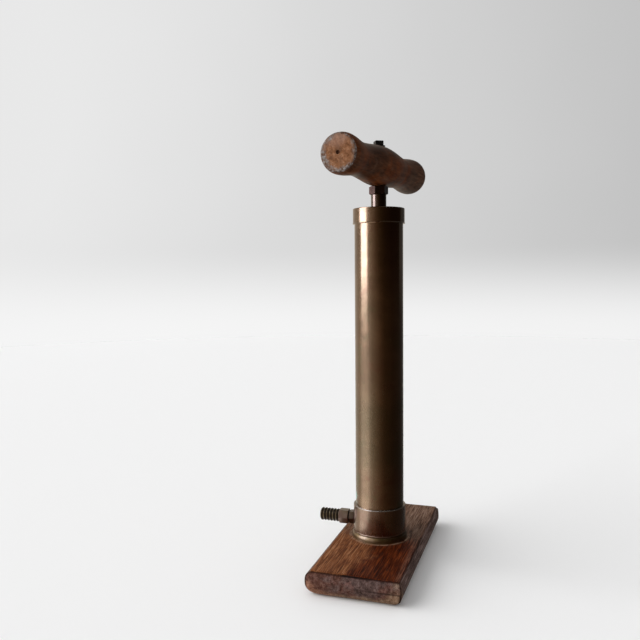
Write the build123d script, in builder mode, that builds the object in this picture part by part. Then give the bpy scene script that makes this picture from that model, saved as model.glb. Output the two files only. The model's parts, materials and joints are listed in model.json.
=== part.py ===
from build123d import *
from math import cos, radians, sin
import os

# Hand air pump: a brass barrel stands in a brass cup on a moulded wooden foot board.
# A leather-cup piston runs in the barrel on a thick rod under a turned wooden handle.
# Air leaves through a spring-loaded ball valve in the cup and a ribbed hose nipple.
#
# Frame: millimetres, +Z up, origin on the board's underside below the barrel's axis.
# The board's length lies along Y and the nipple points along -X.

# ---------------------------------------------------------------- dimensions

running_gap = 0.05  # radial clearance of sliding and screwed fits

board_width = 95.4
board_length = 227.0
board_thickness = 23.4
board_shift_x = -0.4  # the board's middle, seen from the barrel's axis
board_shift_y = -0.8
panel_inset = 6.1  # from the outermost edge to the raised top panel
panel_step = 1.6
panel_edge = 0.5
nose_bottom = (10.4, 11.6)  # half axes of the bullnose below its widest line
nose_top = (7.1, 8.8)  # and above it
corner_wear = 7.4  # plan radius of the blunted corner tips

foot_radius = 29.5
foot_lip = 0.7
foot_ovolo_radius = 29.1
foot_height = 5.3
foot_shoulder_radius = 27.9
groove_radius = 27.3
groove_height = 0.8
bead_radius = 0.6
cup_radius = 27.65
cup_top = 57.8
cup_edge = 0.6
socket_floor = 48.0

barrel_radius = 25.4
barrel_wall = 1.6
seal_thickness = 1.2

cap_radius = 27.0
cap_bottom = 355.0
cap_top = 371.0
cap_wall = 3.6
cap_lip = 0.4
cap_lip_height = 1.1
cap_edge = 0.9
cap_hole_radius = 10.0
vent_radius = 1.0
vent_circle = 18.0

rod_radius = 8.0
spigot_radius = 5.0
neck_radius = 4.75
stud_radius = 3.15

bush_flange_radius = 13.5
bush_flange_height = 4.0
bush_body_radius = 11.0
bush_bottom = 347.0
wiper_radius = 9.6
wiper_height = 4.0
wiper_bottom = 353.0

screw_spacing = 26.0
screw_radius = 3.0
screw_head_radius = 5.6
screw_recess = 0.8
screw_tip = 36.0
screw_slot = 1.2

valve_bore_radius = 4.0
valve_bore_top = 45.0
valve_port_radius = 1.9
seat_thickness = 1.8
seat_chamfer = 0.7
ball_radius = 3.0
ball_height = 41.4
plug_radius = 5.0
plug_bottom = 24.0
plug_top = 30.35
plug_slot = 1.2
spring_wire_radius = 0.25
spring_coil_radius = 2.0
spring_top = 38.7
spring_turns = 5

outlet_height = 39.7
outlet_bore_radius = 2.0
outlet_face = 26.95
outlet_face_radius = 6.8
port_radius = 5.0
port_bottom = 16.5
gasket_radius = 5.9
gasket_thickness = 0.9
locknut_across_flats = 13.0
locknut_thickness = 5.0
hexagon_start = 33.8
hexagon_end = 44.4
hexagon_across_flats = 14.0
tail_core_radius = 5.5
rib_radius = 6.75
rib_pitch = 3.45
rib_crest = 1.7
rib_count = 6

piston_bottom = 48.2
piston_nut_height = 6.8
piston_nut_across_flats = 17.0
lock_washer_thickness = 1.2
lock_washer_radius = 9.0
follower_radius = 19.6
follower_thickness = 3.0
expander_thickness = 0.45
expander_radius = 21.35
expander_bottom = 51.0
finger_count = 12
finger_gap = 1.2
leather_thickness = 2.4
leather_bottom = 50.2
backplate_radius = 23.3
backplate_thickness = 3.5
buffer_radius = 13.0
buffer_thickness = 4.0

handle_angle = 81.3  # direction of the grip, anticlockwise from +X
handle_height = 414.4
handle_half_length = 98.8
belly_radius = 21.0
waist_radius = 17.0
waist_offset = 57.4
bulb_radius = 19.9
bulb_offset = 90.35
end_radius = 17.9
end_edge = 1.3
centre_hole_radius = 1.7
centre_hole_depth = 2.6
handle_hole_radius = 3.3

collar_bottom = 385.3
collar_top = 394.0
collar_across_flats = 17.4
collar_seat_radius = 11.0
top_seat_height = 434.9
top_washer_radius = 7.0
top_washer_thickness = 0.7
top_nut_width = 8.4
top_nut_height = 5.0
top_nut_angle = -59.5

# ---------------------------------------------------------------- derived sizes

bore_radius = barrel_radius - barrel_wall
socket_radius = barrel_radius + running_gap
cap_inside = cap_top - cap_wall
barrel_bottom = socket_floor + seal_thickness
barrel_top = cap_inside - seal_thickness
bush_bore_radius = rod_radius + running_gap
screw_hole_radius = screw_radius + 2 * running_gap
plug_seat = plug_top + running_gap

lock_washer_bottom = piston_bottom + piston_nut_height
follower_bottom = lock_washer_bottom + lock_washer_thickness
expander_top = follower_bottom + follower_thickness + running_gap + expander_thickness
leather_base = expander_top + running_gap
leather_top = leather_base + leather_thickness
backplate_bottom = leather_top + running_gap
rod_shoulder = backplate_bottom + backplate_thickness
spigot_hole_radius = spigot_radius + running_gap

top_nut_bottom = top_seat_height + top_washer_thickness
rod_top = top_nut_bottom + top_nut_height - 0.2

grip_direction = (cos(radians(handle_angle)), sin(radians(handle_angle)), 0)
grip_normal = (sin(radians(handle_angle)), -cos(radians(handle_angle)), 0)
grip_plane = Plane(origin=(0, 0, handle_height), x_dir=grip_direction, z_dir=grip_normal)
grip_axis = Axis((0, 0, handle_height), grip_direction)

# distances outward along the nipple are x and radii about it are y on this plane
outlet_plane = Plane(origin=(0, 0, outlet_height), x_dir=(-1, 0, 0), z_dir=(0, 1, 0))
outlet_axis = Axis((0, 0, outlet_height), (-1, 0, 0))
outlet_facing = Plane(origin=(0, 0, outlet_height), x_dir=(0, 1, 0), z_dir=(-1, 0, 0))

screw_spots = GridLocations(screw_spacing, screw_spacing, 2, 2).locations
on_base = (Align.CENTER, Align.CENTER, Align.MIN)


def outline(plane, *points):
    """A closed polygon on the plane, ready to be turned about the plane's axis."""
    with BuildSketch(plane) as sketch:
        with BuildLine():
            Polyline(*points, close=True)
        make_face()
    return sketch.sketch


def ring_outline(inner, outer, bottom, top):
    """The half section of a plain ring about the barrel's axis."""
    return outline(Plane.XZ, (inner, bottom), (outer, bottom), (outer, top), (inner, top))


def hexagon_blank(plane, across_flats, bottom, top, chamfer_bottom=True):
    """A hexagon along the plane's normal whose corners are turned off at 30 degrees."""
    corner = across_flats / 3**0.5
    flat = across_flats / 2
    drop = 1.15 * (corner - flat) / 3**0.5
    with BuildPart() as blank:
        with BuildSketch(plane.offset(bottom)):
            RegularPolygon(flat, 6, major_radius=False)
        extrude(amount=top - bottom)
        axis_plane = Plane(origin=plane.origin, x_dir=plane.x_dir, z_dir=-plane.y_dir)
        low = flat - 0.1 if chamfer_bottom else corner
        revolve(
            outline(
                axis_plane,
                (0, bottom),
                (low, bottom),
                (corner, bottom + drop),
                (corner, top - drop),
                (flat - 0.1, top),
                (0, top),
            ),
            axis=Axis(plane.origin, plane.z_dir),
            mode=Mode.INTERSECT,
        )
    return blank.part


# ---------------------------------------------------------------- foot board


def nosed_section(width):
    """The board's section across one pair of edges: flat above and below, bullnosed at the sides."""
    half = width / 2
    low_reach, low_rise = nose_bottom
    high_reach, high_rise = nose_top
    nose_height = board_thickness - panel_step
    with BuildSketch() as section:
        with BuildLine():
            Line((0, 0), (half - low_reach, 0))
            EllipticalCenterArc((half - low_reach, low_rise), low_reach, low_rise, 270, arc_size=90)
            Line((half, low_rise), (half, nose_height - high_rise))
            EllipticalCenterArc(
                (half - high_reach, nose_height - high_rise),
                high_reach,
                high_rise,
                0,
                arc_size=90,
            )
            Polyline((half - high_reach, nose_height), (0, nose_height), (0, 0))
        make_face()
        mirror(about=Plane.YZ)
    return section.sketch


board_middle = (board_shift_x, board_shift_y, 0)
across_board = Plane(origin=board_middle, x_dir=(1, 0, 0), z_dir=(0, -1, 0))
along_board = Plane(origin=board_middle, x_dir=(0, 1, 0), z_dir=(1, 0, 0))
under_board = Plane(origin=board_middle)

with BuildPart() as base_board:
    # bullnose mouldings along both pairs of edges meet in mitred corners
    with BuildSketch(across_board):
        add(nosed_section(board_width))
    extrude(amount=board_length / 2, both=True)
    with BuildSketch(along_board):
        add(nosed_section(board_length))
    extrude(amount=board_width / 2, both=True, mode=Mode.INTERSECT)
    with BuildSketch(under_board):
        RectangleRounded(board_width, board_length, corner_wear)
    extrude(amount=board_thickness, mode=Mode.INTERSECT)
    # the raised top panel stands one small step above the moulding
    with BuildSketch(under_board.offset(board_thickness / 2)):
        Rectangle(board_width - 2 * panel_inset, board_length - 2 * panel_inset)
    extrude(amount=board_thickness / 2)
    fillet(base_board.edges().group_by(Axis.Z)[-1], panel_edge)
    # countersunk holes for the screws that hold the cup
    with Locations(*screw_spots):
        Cylinder(screw_hole_radius, board_thickness, align=on_base, mode=Mode.SUBTRACT)
        Cylinder(
            screw_head_radius + 2 * running_gap,
            screw_recess,
            align=on_base,
            mode=Mode.SUBTRACT,
        )
    with Locations(*[spot * Pos(0, 0, screw_recess) for spot in screw_spots]):
        Cone(
            screw_head_radius + 2 * running_gap,
            screw_hole_radius,
            screw_head_radius - screw_radius,
            align=on_base,
            mode=Mode.SUBTRACT,
        )
base_board.part.label = "base_board"

with BuildPart() as base_screws:
    head_height = screw_head_radius - screw_radius
    with Locations(*[spot * Pos(0, 0, screw_recess) for spot in screw_spots]):
        Cone(screw_head_radius, screw_radius, head_height, align=on_base)
        Cylinder(screw_radius, screw_tip - screw_recess, align=on_base)
        Box(
            2 * screw_head_radius,
            screw_slot,
            screw_slot,
            align=on_base,
            mode=Mode.SUBTRACT,
        )
    chamfer(base_screws.edges().group_by(Axis.Z)[-1], 0.6)
base_screws.part.label = "base_screws"

# ---------------------------------------------------------------- cup and barrel

with BuildPart() as base_cup:
    shoulder = board_thickness + foot_height
    bead_bottom = shoulder + groove_height
    bead_top = bead_bottom + 2 * bead_radius
    with BuildSketch(Plane.XZ):
        with BuildLine():
            Polyline(
                (0, board_thickness),
                (foot_radius, board_thickness),
                (foot_radius, board_thickness + foot_lip),
                (foot_ovolo_radius, board_thickness + foot_lip),
            )
            ThreePointArc(
                (foot_ovolo_radius, board_thickness + foot_lip),
                (foot_ovolo_radius - 0.2, shoulder - 1.9),
                (foot_shoulder_radius, shoulder),
            )
            Polyline(
                (foot_shoulder_radius, shoulder),
                (groove_radius, shoulder),
                (groove_radius, bead_bottom),
            )
            ThreePointArc(
                (groove_radius, bead_bottom),
                (groove_radius + bead_radius + 0.15, bead_bottom + bead_radius),
                (cup_radius, bead_top),
            )
            Polyline(
                (cup_radius, bead_top),
                (cup_radius, cup_top - cup_edge),
                (cup_radius - cup_edge, cup_top),
                (socket_radius, cup_top),
                (socket_radius, socket_floor),
                (0, socket_floor),
                (0, board_thickness),
            )
        make_face()
    revolve(axis=Axis.Z)
    # valve chamber, drilled from below and closed by the plug
    with Locations((0, 0, board_thickness)):
        Cylinder(valve_port_radius, cup_top, align=on_base, mode=Mode.SUBTRACT)
        Cylinder(
            valve_bore_radius,
            valve_bore_top - board_thickness,
            align=on_base,
            mode=Mode.SUBTRACT,
        )
        Cylinder(
            plug_radius + running_gap,
            plug_seat - board_thickness,
            align=on_base,
            mode=Mode.SUBTRACT,
        )
    # outlet: flat spot face, screwed port and the passage from the valve
    with BuildSketch(outlet_facing.offset(outlet_face)):
        Circle(outlet_face_radius)
    extrude(amount=foot_radius - outlet_face, mode=Mode.SUBTRACT)
    with BuildSketch(outlet_facing.offset(port_bottom)):
        Circle(port_radius)
    extrude(amount=outlet_face - port_bottom, mode=Mode.SUBTRACT)
    with BuildSketch(outlet_facing):
        Circle(outlet_bore_radius)
    extrude(amount=port_bottom, mode=Mode.SUBTRACT)
    # tapped holes for the screws that come up through the board
    with Locations(*[spot * Pos(0, 0, board_thickness) for spot in screw_spots]):
        Cylinder(
            screw_radius + running_gap,
            screw_tip + 1.5 - board_thickness,
            align=on_base,
            mode=Mode.SUBTRACT,
        )
base_cup.part.label = "base_cup"

with BuildPart() as barrel_washer:
    revolve(ring_outline(bore_radius, barrel_radius, socket_floor, barrel_bottom), axis=Axis.Z)
barrel_washer.part.label = "barrel_washer"

with BuildPart() as barrel_tube:
    revolve(ring_outline(bore_radius, barrel_radius, barrel_bottom, barrel_top), axis=Axis.Z)
    chamfer(barrel_tube.edges().group_by(Axis.Z)[-1], 0.3)
barrel_tube.part.label = "barrel_tube"

with BuildPart() as cap_washer:
    revolve(ring_outline(bore_radius, barrel_radius, barrel_top, cap_inside), axis=Axis.Z)
cap_washer.part.label = "cap_washer"

with BuildPart() as top_cap:
    revolve(
        outline(
            Plane.XZ,
            (socket_radius, cap_bottom),
            (cap_radius, cap_bottom),
            (cap_radius + cap_lip, cap_bottom + cap_lip),
            (cap_radius + cap_lip, cap_bottom + cap_lip_height - cap_lip),
            (cap_radius, cap_bottom + cap_lip_height),
            (cap_radius, cap_top),
            (cap_hole_radius, cap_top),
            (cap_hole_radius, cap_inside),
            (socket_radius, cap_inside),
        ),
        axis=Axis.Z,
    )
    fillet(top_cap.edges().group_by(Axis.Z)[-1].sort_by(SortBy.RADIUS)[-1], cap_edge)
    # two vents let air in behind the piston
    with PolarLocations(vent_circle, 2):
        Cylinder(vent_radius, 2 * cap_top, mode=Mode.SUBTRACT)
top_cap.part.label = "top_cap"

with BuildPart() as rod_bush:
    revolve(
        outline(
            Plane.XZ,
            (bush_bore_radius, bush_bottom),
            (bush_body_radius, bush_bottom),
            (bush_body_radius, cap_inside - bush_flange_height),
            (bush_flange_radius, cap_inside - bush_flange_height),
            (bush_flange_radius, cap_inside),
            (cap_hole_radius - running_gap, cap_inside),
            (cap_hole_radius - running_gap, cap_top - 0.2),
            (bush_bore_radius, cap_top - 0.2),
            (bush_bore_radius, wiper_bottom + wiper_height),
            (wiper_radius, wiper_bottom + wiper_height),
            (wiper_radius, wiper_bottom),
            (bush_bore_radius, wiper_bottom),
        ),
        axis=Axis.Z,
    )
rod_bush.part.label = "rod_bush"

with BuildPart() as wiper_ring:
    revolve(
        ring_outline(
            bush_bore_radius,
            wiper_radius - running_gap,
            wiper_bottom + running_gap,
            wiper_bottom + wiper_height - running_gap,
        ),
        axis=Axis.Z,
    )
wiper_ring.part.label = "wiper_ring"

# ---------------------------------------------------------------- outlet

gasket_end = outlet_face + gasket_thickness
locknut_end = gasket_end + locknut_thickness
ribs_end = hexagon_end + rib_count * rib_pitch
tail_end = ribs_end + 0.5

with BuildPart() as outlet_washer:
    revolve(
        outline(
            outlet_plane,
            (outlet_face, port_radius),
            (outlet_face, gasket_radius),
            (gasket_end, gasket_radius),
            (gasket_end, port_radius),
        ),
        axis=outlet_axis,
    )
outlet_washer.part.label = "outlet_washer"

locknut_blank = hexagon_blank(outlet_facing, locknut_across_flats, gasket_end, locknut_end)
with BuildPart() as outlet_locknut:
    add(locknut_blank)
    with BuildSketch(outlet_facing.offset(gasket_end)):
        Circle(port_radius)
    extrude(amount=locknut_thickness, mode=Mode.SUBTRACT)
outlet_locknut.part.label = "outlet_locknut"

nipple_blank = hexagon_blank(outlet_facing, hexagon_across_flats, hexagon_start, hexagon_end)
with BuildPart() as outlet_nipple:
    add(nipple_blank)
    # the ribs that grip the hose, with the plain core at both ends
    rib_points = [(port_bottom + 1.5, 0), (port_bottom + 1.5, port_radius - running_gap)]
    rib_points.append((hexagon_start + 1, port_radius - running_gap))
    rib_points.append((hexagon_end - 1, tail_core_radius))
    for rib in range(rib_count):
        crest_start = hexagon_end + (rib + 1) * rib_pitch - rib_crest - 0.3
        rib_points.append((crest_start - 0.55, tail_core_radius))
        rib_points.append((crest_start, rib_radius - 0.25))
        rib_points.append((crest_start + 0.3, rib_radius))
        rib_points.append((crest_start + rib_crest - 0.3, rib_radius))
        rib_points.append((crest_start + rib_crest, rib_radius - 0.25))
        rib_points.append((crest_start + rib_crest + 0.3, tail_core_radius))
    rib_points.append((tail_end, tail_core_radius))
    rib_points.append((tail_end, 0))
    revolve(outline(outlet_plane, *rib_points), axis=outlet_axis)
    with BuildSketch(outlet_facing):
        Circle(outlet_bore_radius)
    extrude(amount=2 * tail_end, mode=Mode.SUBTRACT)
outlet_nipple.part.label = "outlet_nipple"

# ---------------------------------------------------------------- outlet valve

seat_bottom = valve_bore_top - seat_thickness

with BuildPart() as valve_seat:
    revolve(
        outline(
            Plane.XZ,
            (valve_port_radius, valve_bore_top),
            (valve_port_radius, seat_bottom + seat_chamfer),
            (valve_port_radius + seat_chamfer, seat_bottom),
            (valve_bore_radius - running_gap, seat_bottom),
            (valve_bore_radius - running_gap, valve_bore_top),
        ),
        axis=Axis.Z,
    )
valve_seat.part.label = "valve_seat"

with BuildPart() as valve_ball:
    with Locations((0, 0, ball_height)):
        Sphere(ball_radius)
valve_ball.part.label = "valve_ball"

with BuildPart() as valve_spring:
    coil_bottom = plug_top + spring_wire_radius + running_gap
    coil_height = spring_top - coil_bottom
    with BuildLine(Plane.XY.offset(coil_bottom)) as coil:
        Helix(coil_height / spring_turns, coil_height, spring_coil_radius)
    with BuildSketch(Plane(origin=coil.line @ 0, z_dir=coil.line % 0)):
        Circle(spring_wire_radius)
    sweep(path=coil.line, is_frenet=True)
valve_spring.part.label = "valve_spring"

with BuildPart() as valve_plug:
    with Locations((0, 0, plug_bottom)):
        Cylinder(plug_radius, plug_top - plug_bottom, align=on_base)
    chamfer(valve_plug.edges().group_by(Axis.Z)[-1], 0.5)
    with Locations((0, 0, plug_bottom)):
        Box(2 * plug_radius, plug_slot, 2 * plug_slot, mode=Mode.SUBTRACT)
valve_plug.part.label = "valve_plug"

# ---------------------------------------------------------------- piston

with BuildPart() as piston_leather:
    # a disc turned down at its rim, so air pressure spreads the skirt against the bore
    skirt_inner = expander_radius + 4 * running_gap
    revolve(
        outline(
            Plane.XZ,
            (spigot_hole_radius, leather_base),
            (skirt_inner, leather_base),
            (skirt_inner, leather_bottom + 1.0),
            (bore_radius - 0.9, leather_bottom),
            (bore_radius - running_gap, leather_bottom),
            (bore_radius - running_gap, leather_top - 1.2),
            (bore_radius - running_gap - 1.2, leather_top),
            (spigot_hole_radius, leather_top),
        ),
        axis=Axis.Z,
    )
piston_leather.part.label = "piston_leather"

with BuildPart() as cup_expander:
    # a thin spring crown whose fingers press the leather outward
    revolve(
        outline(
            Plane.XZ,
            (spigot_hole_radius + 0.5, expander_top - expander_thickness),
            (expander_radius - expander_thickness, expander_top - expander_thickness),
            (expander_radius - expander_thickness, expander_bottom),
            (expander_radius, expander_bottom),
            (expander_radius, expander_top),
            (spigot_hole_radius + 0.5, expander_top),
        ),
        axis=Axis.Z,
    )
    slit_height = expander_top - 2.0 - expander_bottom
    with PolarLocations(expander_radius, finger_count):
        with Locations((0, 0, expander_bottom)):
            Box(3.0, finger_gap, slit_height, align=on_base, mode=Mode.SUBTRACT)
cup_expander.part.label = "cup_expander"

with BuildPart() as piston_backplate:
    revolve(
        ring_outline(spigot_hole_radius, backplate_radius, backplate_bottom, rod_shoulder),
        axis=Axis.Z,
    )
    chamfer(piston_backplate.edges().group_by(Axis.Z)[-1].sort_by(SortBy.RADIUS)[-1], 0.8)
piston_backplate.part.label = "piston_backplate"

with BuildPart() as piston_follower:
    revolve(
        ring_outline(
            spigot_hole_radius,
            follower_radius,
            follower_bottom,
            follower_bottom + follower_thickness,
        ),
        axis=Axis.Z,
    )
    chamfer(piston_follower.edges().group_by(Axis.Z)[0].sort_by(SortBy.RADIUS)[-1], 1.0)
piston_follower.part.label = "piston_follower"

with BuildPart() as piston_washer:
    revolve(
        ring_outline(
            spigot_hole_radius,
            lock_washer_radius,
            lock_washer_bottom,
            follower_bottom,
        ),
        axis=Axis.Z,
    )
piston_washer.part.label = "piston_washer"

piston_nut_blank = hexagon_blank(
    Plane.XY,
    piston_nut_across_flats,
    piston_bottom,
    lock_washer_bottom,
)
with BuildPart() as piston_nut:
    add(piston_nut_blank)
    Cylinder(spigot_hole_radius, 4 * lock_washer_bottom, mode=Mode.SUBTRACT)
piston_nut.part.label = "piston_nut"

with BuildPart() as buffer_washer:
    revolve(
        ring_outline(
            rod_radius + running_gap,
            buffer_radius,
            rod_shoulder,
            rod_shoulder + buffer_thickness,
        ),
        axis=Axis.Z,
    )
    fillet(buffer_washer.edges().group_by(Axis.Z)[-1].sort_by(SortBy.RADIUS)[-1], 1.0)
buffer_washer.part.label = "buffer_washer"

with BuildPart() as piston_rod:
    revolve(
        outline(
            Plane.XZ,
            (0, piston_bottom + 0.2),
            (spigot_radius - 0.5, piston_bottom + 0.2),
            (spigot_radius, piston_bottom + 0.7),
            (spigot_radius, rod_shoulder),
            (rod_radius, rod_shoulder),
            (rod_radius, collar_bottom - 0.3),
            (rod_radius - 0.3, collar_bottom),
            (neck_radius, collar_bottom),
            (neck_radius, collar_top - 0.1),
            (stud_radius, collar_top - 0.1),
            (stud_radius, rod_top - 0.5),
            (stud_radius - 0.6, rod_top),
            (0, rod_top),
        ),
        axis=Axis.Z,
    )
piston_rod.part.label = "piston_rod"

# ---------------------------------------------------------------- handle

collar_plane = Plane(origin=(0, 0, 0), x_dir=grip_direction, z_dir=(0, 0, 1))
collar_blank = hexagon_blank(
    collar_plane,
    collar_across_flats,
    collar_bottom,
    collar_top,
)
with BuildPart() as handle_collar:
    add(collar_blank)
    Cylinder(neck_radius + running_gap, 4 * collar_top, mode=Mode.SUBTRACT)
handle_collar.part.label = "handle_collar"

with BuildPart() as handle_grip:
    # half of the turned outline, from the belly over the waist to the end bulb
    with BuildSketch(grip_plane):
        with BuildLine():
            Spline(
                (0, belly_radius),
                (waist_offset, waist_radius),
                (bulb_offset, bulb_radius),
                tangents=[(1, 0), (1, 0), (1, 0)],
            )
            end_round = ThreePointArc(
                (bulb_offset, bulb_radius),
                ((bulb_offset + handle_half_length) / 2, (bulb_radius + end_radius) / 2 + 0.55),
                (handle_half_length - end_edge / 2, end_radius),
            )
            Polyline(
                end_round @ 1,
                (handle_half_length, end_radius - end_edge),
                (handle_half_length, centre_hole_radius),
                (handle_half_length - centre_hole_depth, 0),
                (0, 0),
                (0, belly_radius),
            )
        make_face()
    revolve(axis=grip_axis)
    mirror(about=Plane(origin=(0, 0, handle_height), z_dir=grip_direction))
    # bore for the stud and the flats that the collar and the washer seat on
    Cylinder(handle_hole_radius, 4 * handle_height, mode=Mode.SUBTRACT)
    with Locations((0, 0, collar_top)):
        Cylinder(
            collar_seat_radius,
            belly_radius,
            align=(Align.CENTER, Align.CENTER, Align.MAX),
            mode=Mode.SUBTRACT,
        )
    with Locations((0, 0, top_seat_height)):
        Cylinder(
            top_washer_radius + 0.3,
            belly_radius,
            align=on_base,
            mode=Mode.SUBTRACT,
        )
handle_grip.part.label = "handle_grip"

with BuildPart() as handle_washer:
    revolve(
        ring_outline(
            stud_radius + running_gap,
            top_washer_radius,
            top_seat_height,
            top_nut_bottom,
        ),
        axis=Axis.Z,
    )
handle_washer.part.label = "handle_washer"

with BuildPart() as handle_nut:
    with BuildSketch(Plane.XY.offset(top_nut_bottom)):
        Rectangle(top_nut_width, top_nut_width, rotation=top_nut_angle)
        Circle(stud_radius + running_gap, mode=Mode.SUBTRACT)
    extrude(amount=top_nut_height)
    top_face = handle_nut.faces().sort_by(Axis.Z)[-1]
    chamfer(top_face.outer_wire().edges(), 0.4)
handle_nut.part.label = "handle_nut"

# ---------------------------------------------------------------- export

pieces = [
    base_board,
    base_screws,
    base_cup,
    barrel_washer,
    barrel_tube,
    cap_washer,
    top_cap,
    rod_bush,
    wiper_ring,
    outlet_washer,
    outlet_locknut,
    outlet_nipple,
    valve_seat,
    valve_ball,
    valve_spring,
    valve_plug,
    piston_leather,
    cup_expander,
    piston_backplate,
    piston_follower,
    piston_washer,
    piston_nut,
    buffer_washer,
    piston_rod,
    handle_collar,
    handle_grip,
    handle_washer,
    handle_nut,
]

os.makedirs("parts", exist_ok=True)
for piece in pieces:
    export_step(piece.part, f"parts/{piece.part.label}.step")
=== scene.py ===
import json
import math

import bpy
from mathutils import Matrix, Vector, noise


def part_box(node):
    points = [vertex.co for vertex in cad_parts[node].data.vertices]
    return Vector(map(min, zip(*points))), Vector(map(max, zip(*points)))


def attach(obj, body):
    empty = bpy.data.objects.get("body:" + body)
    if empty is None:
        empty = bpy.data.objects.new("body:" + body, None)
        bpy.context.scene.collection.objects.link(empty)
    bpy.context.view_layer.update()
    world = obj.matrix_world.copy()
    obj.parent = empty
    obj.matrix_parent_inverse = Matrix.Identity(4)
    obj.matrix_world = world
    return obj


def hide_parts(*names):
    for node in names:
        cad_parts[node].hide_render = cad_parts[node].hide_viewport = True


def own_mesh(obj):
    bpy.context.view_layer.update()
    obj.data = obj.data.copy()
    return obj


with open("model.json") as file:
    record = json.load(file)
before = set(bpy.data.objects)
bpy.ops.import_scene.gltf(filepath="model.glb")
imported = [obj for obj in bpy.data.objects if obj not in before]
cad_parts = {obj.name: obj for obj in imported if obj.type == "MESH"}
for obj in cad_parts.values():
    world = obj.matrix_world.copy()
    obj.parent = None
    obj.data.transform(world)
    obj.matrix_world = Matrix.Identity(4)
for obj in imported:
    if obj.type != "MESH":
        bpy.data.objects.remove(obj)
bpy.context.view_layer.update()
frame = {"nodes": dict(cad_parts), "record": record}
nodes = frame["nodes"]

MM = 0.001


# ------------------------------------------------------------------ mesh helpers

def add_to_scene(obj):
    bpy.context.scene.collection.objects.link(obj)
    return obj


def shade(mesh, sharp_angle):
    """Smooth shading, with edges sharper than this many degrees kept crisp."""
    mesh.shade_smooth()
    mesh.set_sharp_from_angle(angle=math.radians(sharp_angle))


def mesh_object(name, verts, faces, sharp_angle=None):
    """A new object, smooth up to sharp_angle or flat shaded without one."""
    mesh = bpy.data.meshes.new(name)
    mesh.from_pydata([tuple(v) for v in verts], [], faces)
    mesh.update()
    mesh.validate()
    if sharp_angle is not None:
        shade(mesh, sharp_angle)
    return add_to_scene(bpy.data.objects.new(name, mesh))


def blended(t):
    """Smooth rise from 0 to 1 with level ends."""
    return t * t * (3 - 2 * t)


def unevenness(point, scale, amount, seed):
    """A smooth irregular depth between 0 and amount."""
    value = noise.noise(Vector(point) * scale + Vector((seed, seed * 0.37, seed * 1.9)))
    return amount * (0.5 + 0.5 * value)


def close_tube(rings, count):
    """Quads between rings of points and a flat face at each end."""
    faces = []
    for ring in range(rings - 1):
        for index in range(count):
            following = (index + 1) % count
            faces.append((ring * count + index, ring * count + following,
                          (ring + 1) * count + following, (ring + 1) * count + index))
    faces.append(tuple(reversed(range(count))))
    faces.append(tuple(range((rings - 1) * count, rings * count)))
    return faces


CUTTER_SEGMENTS = 48
WOOD_SHARP_ANGLE = 50


def cutter(profile, place):
    """A turned solid about an upright axis, used only to carve. The profile is in mm."""
    rings = []
    for radius, height in profile:
        for index in range(CUTTER_SEGMENTS):
            turn = 2 * math.pi * index / CUTTER_SEGMENTS
            offset = Vector((radius * math.cos(turn), radius * math.sin(turn), height))
            rings.append(Vector(place) + offset * MM)
    return mesh_object("cutter", rings, close_tube(len(profile), CUTTER_SEGMENTS))


def carve(obj, tools):
    """Cuts the tools out of a wooden object and keeps the plain result."""
    for tool in tools:
        cut = obj.modifiers.new("carve", "BOOLEAN")
        cut.operation = "DIFFERENCE"
        cut.solver = "EXACT"
        cut.object = tool
    evaluated = obj.evaluated_get(bpy.context.evaluated_depsgraph_get())
    carved = bpy.data.meshes.new_from_object(evaluated)
    obj.modifiers.clear()
    obj.data = carved
    shade(carved, WOOD_SHARP_ANGLE)
    for tool in tools:
        bpy.data.objects.remove(tool)


# ------------------------------------------------------------------ foot board
# all sizes in this section are in mm

# the rounded edge is two quarter ellipses, as (depth, height)
NOSE_LOW = (10.4, 11.6)
NOSE_HIGH = (7.1, 8.8)
NOSE_TOP = 21.8
# the step up to the raised panel, as (inset, height)
PANEL_STEP = [(6.32, 21.42), (6.40, 21.60), (6.22, 22.0), (6.13, 22.5), (6.16, 22.85), (6.34, 23.17),
              (6.68, 23.36), (7.2, 23.40), (9.0, 23.40), (12.0, 23.40), (18.0, 23.40)]
PANEL_EDGE_HEIGHT = 22.8
# how far each corner is worn round in plan: front right, back right, back left, front left
CORNER_WEAR = (2.6, 6.5, 7.0, 8.4)
SHARPEST_CORNER = 1.1
# the panel comes nearer to the board's right side than to its other sides
RIGHT_SHARE = 0.52
STEP_INSET = 8
POINTS_X, POINTS_Y, POINTS_CORNER = 46, 108, 7

# from a screw's middle to the outside of its head
SCREW_HEAD_REACH = 5.6
SCREW_HOLE = [(5.7, -1.0), (5.7, 0.8), (3.1, 3.4), (3.1, 24.4)]


def board_stations():
    """The board's edge from the underside to the top panel, as (inset, height)."""
    stations = [(NOSE_LOW[0] + 1.5, 0.0)]
    for step in range(13):
        turn = math.radians(90 * step / 12)
        stations.append((NOSE_LOW[0] * (1 - math.sin(turn)), NOSE_LOW[1] * (1 - math.cos(turn))))
    for step in range(13):
        turn = math.radians(82 * step / 12)
        stations.append((NOSE_HIGH[0] * (1 - math.cos(turn)),
                         NOSE_TOP - NOSE_HIGH[1] * (1 - math.sin(turn))))
    return stations + PANEL_STEP


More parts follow.
